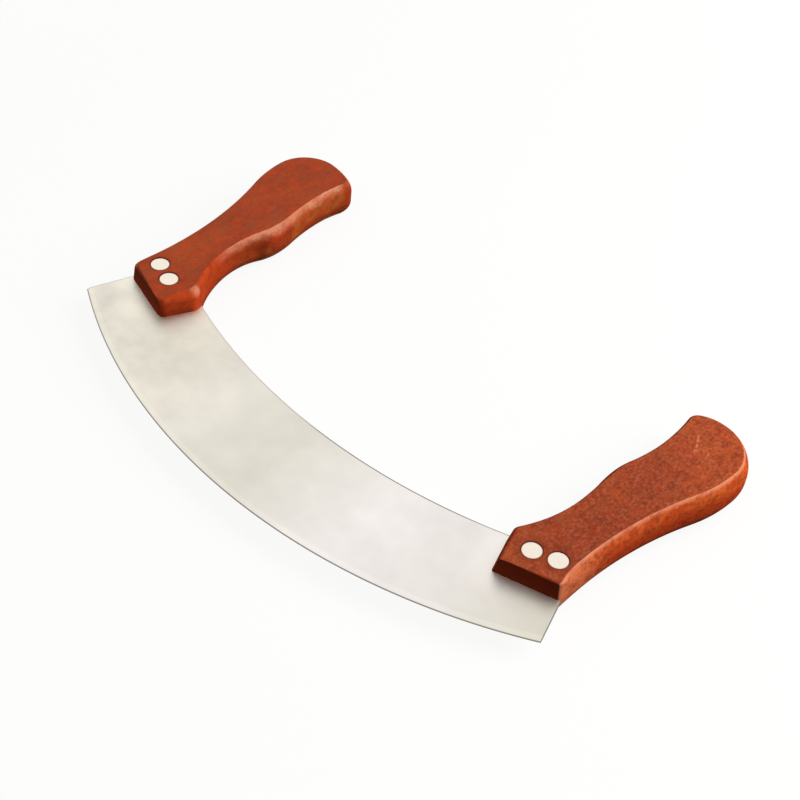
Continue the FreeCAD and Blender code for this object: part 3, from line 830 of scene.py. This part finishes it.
def handle_places(name):
    """One handle's places, in metres in the frame, as if it were at the right: where they are, and their edges."""
    places = {}
    for key, (left, right, corner) in HANDLE_PLACES.items():
        middle = RIVET_PAIR + Vector(right if name == "right" else left) * MM
        place = {"middle": middle}
        for edge, table in (("under", UNDER_EDGES), ("face", FACE_EDGES)):
            inset, round_height, turn, draft = table.get(key, FACE_EDGES[key])
            soft, steep = BASE_SOFTNESS[name] if draft else (1.0, 1.0)
            place[edge] = middle + Vector(inset) * MM
            place[f"{edge}_round"] = soft * round_height * MM
            place[f"{edge}_turn"] = math.radians(turn)
            place[f"{edge}_draft"] = steep * draft
        place["face"] += Vector(INSET_CHANGES[name].get(key, (0.0, 0.0))) * MM
        place["corner"] = soft * corner * MM
        places[key] = place
    for key, (start, end, share) in HANDLE_TURNS.items():
        places[key] = blended(places[start], places[end], share)
    return places


class Stretch:
    """A stretch of outline: a straight line, or an arc that runs level at one of its ends."""

    def __init__(self, start, end, level=None, along=None):
        self.start = start
        self.end = end
        self.backward = level is not None and (level - end).length < (level - start).length
        self.bend = 0.0
        self.length = (end - start).length
        if level is None:
            return
        self.origin = end if self.backward else start
        chord = (start if self.backward else end) - self.origin
        self.along = along if chord.dot(along) > 0 else -along
        self.across = Vector((-self.along.y, self.along.x))
        if abs(chord.dot(self.across)) > STRAIGHT:
            self.bend = 2 * math.atan2(chord.dot(self.across), chord.dot(self.along))
            self.radius = chord.length_squared / (2 * chord.dot(self.across))
            self.length = abs(self.radius * self.bend)

    def at(self, share):
        """Point at a share of the way from start to end."""
        if self.bend == 0.0:
            return self.start.lerp(self.end, share)
        angle = self.bend * (1 - share if self.backward else share)
        return self.origin + self.radius * (math.sin(angle) * self.along + (1 - math.cos(angle)) * self.across)


def handle_outlines(name):
    """Matching points of the three outlines, with how the side turns in at each."""
    places = handle_places(name)
    legs = []
    for index, (start, flat) in enumerate(HANDLE_STRETCHES):
        start, end = places[start], places[HANDLE_STRETCHES[(index + 1) % len(HANDLE_STRETCHES)][0]]
        along = Vector((1.0, 0.0) if flat == "butt_top" else (0.0, 1.0))
        lines = {key: Stretch(start[key], end[key], places[flat][key] if flat else None, along)
                 for key in ("middle", "face", "under")}
        legs.append((start, end, lines))
    points = []
    for index, (start, end, lines) in enumerate(legs):
        steps = max(FEWEST_STEPS, math.ceil(lines["middle"].length / STEP))
        for step in range(steps + 1 if end["corner"] else steps):
            share = step / steps
            point = blended(start, end, share * share * (3 - 2 * share))
            for key, line in lines.items():
                low = start["corner"] / line.length
                high = 1 - end["corner"] / line.length
                point[key] = line.at(low + (high - low) * share)
            points.append(point)
        following = legs[(index + 1) % len(legs)][2]
        for step in range(1, CORNER_STEPS if end["corner"] else 1):
            share = step / CORNER_STEPS
            point = dict(end)
            for key, line in lines.items():
                before = line.at(1 - end["corner"] / line.length)
                beyond = following[key].at(end["corner"] / following[key].length)
                point[key] = before.lerp(line.end, share).lerp(line.end.lerp(beyond, share), share)
            points.append(point)
    return {key: np.array([point[key] for point in points]) for key in points[0]}


def inward(ring, distance):
    """Ring moved inward in plan."""
    along = np.roll(ring, -1, axis=0) - np.roll(ring, 1, axis=0)
    along /= np.linalg.norm(along, axis=1)[:, None]
    return ring + distance * np.column_stack((-along[:, 1], along[:, 0]))


def half_rings(middle, edge, round_height, turn, draft):
    """Rings from the mid plane up to a face: drafted, rounded, and eased over the crease."""
    rows = []
    for share in np.linspace(0, 1, SIDE_ROWS + 1)[:-1]:
        height = share * (HALF_HANDLE - round_height)
        rows.append((height, draft * height / HALF_HANDLE))
    for share in np.linspace(0, ROUND_SHARE, ROUND_ROWS + 1):
        angle = turn * share
        height = HALF_HANDLE - round_height + round_height * np.sin(angle) / np.sin(turn)
        inset = (1 - np.cos(angle)) / (1 - np.cos(turn))
        rows.append((height, draft * height / HALF_HANDLE + (1 - draft) * inset))
    rings = [np.column_stack((middle + (edge - middle) * share[:, None], height)) for height, share in rows]
    top = np.full((len(edge), 1), HALF_HANDLE)
    last = rings[-1]
    crease = np.hstack((edge, top))
    flat = np.hstack((inward(edge, FACE_INSET), top))
    for share in np.linspace(0, 1, EASE_ROWS + 1)[1:]:
        rings.append((1 - share) ** 2 * last + 2 * share * (1 - share) * crease + share ** 2 * flat)
    rings.append(np.hstack((inward(edge, 2 * FACE_INSET), top)))
    return rings


def handle_blank(name, side):
    """One handle before it is cut, rounded towards flat faces."""
    lines = handle_outlines(name)
    upper, lower = (
        half_rings(lines["middle"], lines[edge], *(lines[f"{edge}_{key}"] for key in ("round", "turn", "draft")))
        for edge in ("face", "under"))
    whole = [ring * (1, 1, -1) for ring in lower[:0:-1]] + upper
    corners = [(side * x, y, MIDDLE_HEIGHT + z) for ring in whole for x, y, z in ring]
    return mesh_from("handle", corners, ring_faces(len(lines["middle"]), len(whole)))


def handle_mesh(sizes, name, side):
    """Handle of one side (1 right, -1 left), slotted for the blade and drilled for its rivets."""
    gap = sizes.slot_gap
    slot = prism("slot", mirrored([(blade_ring(sizes, gap, gap), HALF_BLADE + gap)]))
    head = RIVET_HEAD + sizes.hole_gap
    shank = sizes.shank_radius + sizes.hole_gap
    seat = HALF_HANDLE - sizes.head_height
    past = HALF_HANDLE + sizes.head_height
    drill = mirrored([(head, past), (head, seat), (shank, seat)])
    places = [place for place in RIVET_PLACES.values() if place.x * side > 0]
    return cut("handle", handle_blank(name, side), slot, turned("rivet_drill", places, drill))


def mark_handle(mesh, side):
    """Store on the mesh where its end grain, its base facet, its sides and its painted highlights are."""
    mesh.shade_smooth()
    mesh.set_sharp_from_angle(angle=SMOOTH_ANGLE)
    normals = np.array([normal.vector for normal in mesh.corner_normals])
    spots = np.array([mesh.vertices[loop.vertex_index].co for loop in mesh.loops])
    up = spots[:, 1] / MM
    height = np.abs(spots[:, 2] - MIDDLE_HEIGHT) / HALF_HANDLE
    outward = normals[:, 0] * side
    baseward = -normals[:, 1]
    lean = np.abs(normals[:, 2])

    def marked(numbers, name):
        low, high = MARKED[name]
        return np.clip((numbers - low) / (high - low), 0, 1)

    steep = marked(lean, "steep")
    end = marked(baseward, "end")
    marks = {
        "end_grain": end,
        "base_facet": marked(baseward, "base") * marked(outward, "finger"),
        "edge_wear": marked(height, "edge_height") * steep * marked(outward, "edge"),
        "finger_wear": marked(height, "grip_height") * steep * marked(outward, "grip") * (1 - end),
        "corner_wear": marked(lean, "corner") * steep,
        "heel_wear": marked(outward, "heel") * marked(baseward, "base") * marked(up, "heel_up") * steep,
        "outer_side": marked(outward, "outer"),
        "finger_side": marked(outward, "finger"),
        "matt_side": marked(lean, "matt") * marked(np.abs(outward), "side"),
    }
    for name, numbers in marks.items():
        layer = mesh.attributes.new(name, "FLOAT", "CORNER")
        layer.data.foreach_set("value", numbers.astype(np.float32))


def rivet_tree():
    """Geometry nodes that set a turned rivet, with a head at each end, on every point."""
    tree = bpy.data.node_groups.new("rivets", "GeometryNodeTree")
    for name, kind in RIVET_INPUTS.items():
        tree.interface.new_socket(name, in_out="INPUT", socket_type=f"NodeSocket{kind}")
    tree.interface.new_socket("Rivets", in_out="OUTPUT", socket_type="NodeSocketGeometry")
    sheet = NodeSheet(tree)
    points = sheet.add("NodeGroupInput")
    _, reach, head, height, dome, rim, shank, sides, finish = (sheet.output(points, name) for name in RIVET_INPUTS)
    half = [(head * radius, reach - dome * drop) for radius, drop in DOME_SHARES] + [
        (head - rim, reach - dome),
        (head - rim * RIM_SHARE, reach - dome - rim * RIM_SHARE),
        (head, reach - dome - rim),
        (head, reach - height),
        (shank, reach - height),
    ]
    profile = half + [(radius, 0.0 - level) for radius, level in half[::-1]]
    grid = sheet.add("GeometryNodeMeshGrid", {"Vertices X": len(profile), "Vertices Y": sides + 1})
    index = sheet.add("GeometryNodeInputIndex")
    column = sheet.math("FLOOR", (index + 0.5) / (sides + 1))
    angle = (index - column * (sides + 1)) * (2 * math.pi) / sides
    radius, level = (
        sheet.add("GeometryNodeIndexSwitch", dict(enumerate((column, *numbers))),
                  data_type="FLOAT", items=len(profile))
        for numbers in zip(*profile))
    east, north = (radius * sheet.math(operation, angle) for operation in ("COSINE", "SINE"))
    spot = sheet.add("ShaderNodeCombineXYZ", {0: east, 1: north, 2: level})
    shaped = sheet.add("GeometryNodeSetPosition", {"Geometry": grid, "Position": spot})
    closed = sheet.add("GeometryNodeMergeByDistance", {"Geometry": shaped, "Distance": ONE_POINT})
    placed = sheet.add("GeometryNodeInstanceOnPoints", {"Points": points, "Instance": closed})
    solid = sheet.add("GeometryNodeRealizeInstances", {"Geometry": placed})
    painted = sheet.add("GeometryNodeSetMaterial", {"Geometry": solid, "Material": finish})
    sheet.add("NodeGroupOutput", {0: painted})
    return tree


class KNIFE_OT_blade(bpy.types.Operator):
    """Grind the blade and give it its steel"""
    bl_idname = "pizza_knife.blade"
    bl_label = "Blade"

    def execute(self, context):
        sizes = context.scene.knife_sizes
        steel = steel_material(sizes, context.scene.knife_colours)
        put_in("ground_blade", blade_mesh(sizes), steel, ["blade"])
        return {"FINISHED"}


class KNIFE_OT_handles(bpy.types.Operator):
    """Shape both handles and give them their wood"""
    bl_idname = "pizza_knife.handles"
    bl_label = "Handles"

    def execute(self, context):
        sizes = context.scene.knife_sizes
        wood = wood_material(context.scene.knife_colours)
        for name, side in (("left", -1), ("right", 1)):
            mesh = handle_mesh(sizes, name, side)
            mark_handle(mesh, side)
            put_in(f"shaped_{name}_handle", mesh, wood, [f"{name}_handle"])
        return {"FINISHED"}


class KNIFE_OT_rivets(bpy.types.Operator):
    """Set the four rivets through the handles and the blade"""
    bl_idname = "pizza_knife.rivets"
    bl_label = "Rivets"

    def execute(self, context):
        sizes = context.scene.knife_sizes
        metal = rivet_material(context.scene.knife_colours)
        mesh = bpy.data.meshes.new("rivets")
        mesh.from_pydata([(*place, MIDDLE_HEIGHT) for place in RIVET_PLACES.values()], [], [])
        points = new_object("rivet_points", mesh)
        modifier = points.modifiers.new("rivets", "NODES")
        modifier.node_group = rivet_tree()
        given = {"Reach": HALF_HANDLE - RIVET_SINK, "Head Radius": RIVET_HEAD, "Head Height": sizes.head_height,
                 "Head Dome": sizes.head_dome, "Head Rim": sizes.head_rim, "Shank Radius": sizes.shank_radius,
                 "Sides": sizes.rivet_sides, "Finish": metal}
        for item in modifier.node_group.interface.items_tree:
            if item.name in given:
                modifier[item.identifier] = given[item.name]
        mesh = plain_mesh(points)
        if not mesh.polygons:
            raise RuntimeError("the rivets came out empty")
        tidy_normals(mesh)
        put_in("set_rivets", mesh, metal, RIVET_NODES)
        return {"FINISHED"}


def seen_directly(sheet):
    """1 for what the camera sees, directly, in a gloss or through glass, and 0 for light that is scattered."""
    path = sheet.add("ShaderNodeLightPath", output="Is Camera Ray")
    total = path + sheet.output(path, "Is Glossy Ray") + sheet.output(path, "Is Transmission Ray")
    return sheet.math("MINIMUM", total, 1.0)


def area_light(name, towards, distance, size, level, tint):
    """Soft square light that brings a white surface facing it to a level, and that metal doesn't mirror."""
    lamp = bpy.data.lights.new(name, "AREA")
    lamp.size = size
    lamp.energy = level * math.pi ** 2 * distance ** 2
    lamp.color = tint
    light = new_object(name, lamp)
    direction = Vector(towards).normalized()
    light.visible_glossy = False
    light.location = LOOK_AT + direction * distance
    light.rotation_euler = direction.to_track_quat("Z", "Y").to_euler()


class KNIFE_OT_stage(bpy.types.Operator):
    """Lay the floor, hang the lights and set up the camera"""
    bl_idname = "pizza_knife.stage"
    bl_label = "Stage"

    def execute(self, context):
        self.lay_floor(context.scene.knife_colours)
        self.light_room()
        self.set_camera(context.scene)
        context.scene.view_settings.view_transform = "Standard"
        return {"FINISHED"}

    def lay_floor(self, colours):
        """Pale floor that looks white to the camera and keeps a soft shadow."""
        corners = [(x * FLOOR_HALF, y * FLOOR_HALF, 0.0) for x, y in ((-1, -1), (1, -1), (1, 1), (-1, 1))]
        mesh = bpy.data.meshes.new("floor")
        mesh.from_pydata(corners, [], [(0, 1, 2, 3)])
        material, sheet = new_material("floor_white")
        seen = seen_directly(sheet)
        _, across, up, _ = sheet.place()
        far = sheet.ease(distance_in_plan(sheet, across, up, (0.0, 0.0)), *FLOOR_FADE)
        bounce = sheet.add("ShaderNodeBsdfDiffuse", {"Color": opaque(colours.floor_bounce)})
        matt = sheet.add("ShaderNodeBsdfDiffuse", {"Color": opaque(colours.floor)})
        glow = sheet.add("ShaderNodeEmission", {"Strength": FLOOR_GLOW})
        white = FLOOR_WHITE_SHARE + far * FAR_WHITE_SHARE
        shown = sheet.add("ShaderNodeMixShader", {0: white, 1: matt, 2: glow})
        surface = sheet.add("ShaderNodeMixShader", {0: seen, 1: bounce, 2: shown})
        sheet.add("ShaderNodeOutputMaterial", {"Surface": surface})
        mesh.materials.append(material)
        new_object("floor", mesh)

    def light_room(self):
        """White surroundings, a softer light from the sky, a key light at the right and a fill at the left."""
        world = bpy.data.worlds.new("white_room")
        bpy.context.scene.world = world
        world.use_nodes = True
        sheet = NodeSheet(world.node_tree)
        way = sheet.add("ShaderNodeTexCoord", output="Generated")
        facing = sheet.add("ShaderNodeVectorMath", {0: way, 1: SKY_WAY}, "Value", operation="DOT_PRODUCT")
        dim, bright = (
            sheet.add("ShaderNodeBackground", {"Color": SKY_TINT, "Strength": level}) for level in SKY_LEVELS)
        soft = sheet.add("ShaderNodeMixShader", {0: sheet.ease(facing, *SKY_FADE), 1: dim, 2: bright})
        white = sheet.add("ShaderNodeBackground", {"Color": WHITE, "Strength": 1.0})
        both = sheet.add("ShaderNodeMixShader", {0: seen_directly(sheet), 1: soft, 2: white})
        sheet.add("ShaderNodeOutputWorld", {"Surface": both})
        for name, numbers in LIGHTS.items():
            area_light(name, *numbers)

    def set_camera(self, scene):
        """Camera of the picture."""
        lens = bpy.data.cameras.new("picture_camera")
        lens.sensor_fit = "HORIZONTAL"
        lens.sensor_width = SENSOR_WIDTH
        lens.lens = CAMERA_LENS
        lens.clip_start = NEAREST
        camera = new_object("picture_camera", lens)
        turn = (Matrix.Rotation(CAMERA_TURN, 4, "Z") @ Matrix.Rotation(math.pi / 2 - CAMERA_RISE, 4, "X")
                @ Matrix.Rotation(CAMERA_ROLL, 4, "Z"))
        back = Matrix.Translation((0.0, 0.0, CAMERA_DISTANCE))
        camera.matrix_world = Matrix.Translation(LOOK_AT) @ turn @ back
        scene.camera = camera


class KNIFE_PT_panel(bpy.types.Panel):
    """Lists the knife's pieces, sizes and colours"""
    bl_idname = "KNIFE_PT_panel"
    bl_label = "Rocking Pizza Knife"
    bl_space_type = "VIEW_3D"
    bl_region_type = "UI"
    bl_category = "Pizza Knife"

    def draw(self, context):
        for operator in OPERATORS:
            self.layout.operator(operator.bl_idname)
        for group in (context.scene.knife_sizes, context.scene.knife_colours):
            column = self.layout.column()
            for name in group.__annotations__:
                column.prop(group, name)


OPERATORS = (KNIFE_OT_stage, KNIFE_OT_blade, KNIFE_OT_handles, KNIFE_OT_rivets)
CLASSES = (KnifeSizes, KnifeColours, *OPERATORS, KNIFE_PT_panel)


def register():
    for kind in CLASSES:
        bpy.utils.register_class(kind)
    bpy.types.Scene.knife_sizes = PointerProperty(type=KnifeSizes)
    bpy.types.Scene.knife_colours = PointerProperty(type=KnifeColours)


def unregister():
    del bpy.types.Scene.knife_colours
    del bpy.types.Scene.knife_sizes
    for kind in reversed(CLASSES):
        bpy.utils.unregister_class(kind)


def main():
    register()
    bpy.ops.pizza_knife.stage()
    bpy.ops.pizza_knife.blade()
    bpy.ops.pizza_knife.handles()
    bpy.ops.pizza_knife.rivets()


if __name__ == "__main__":
    main()
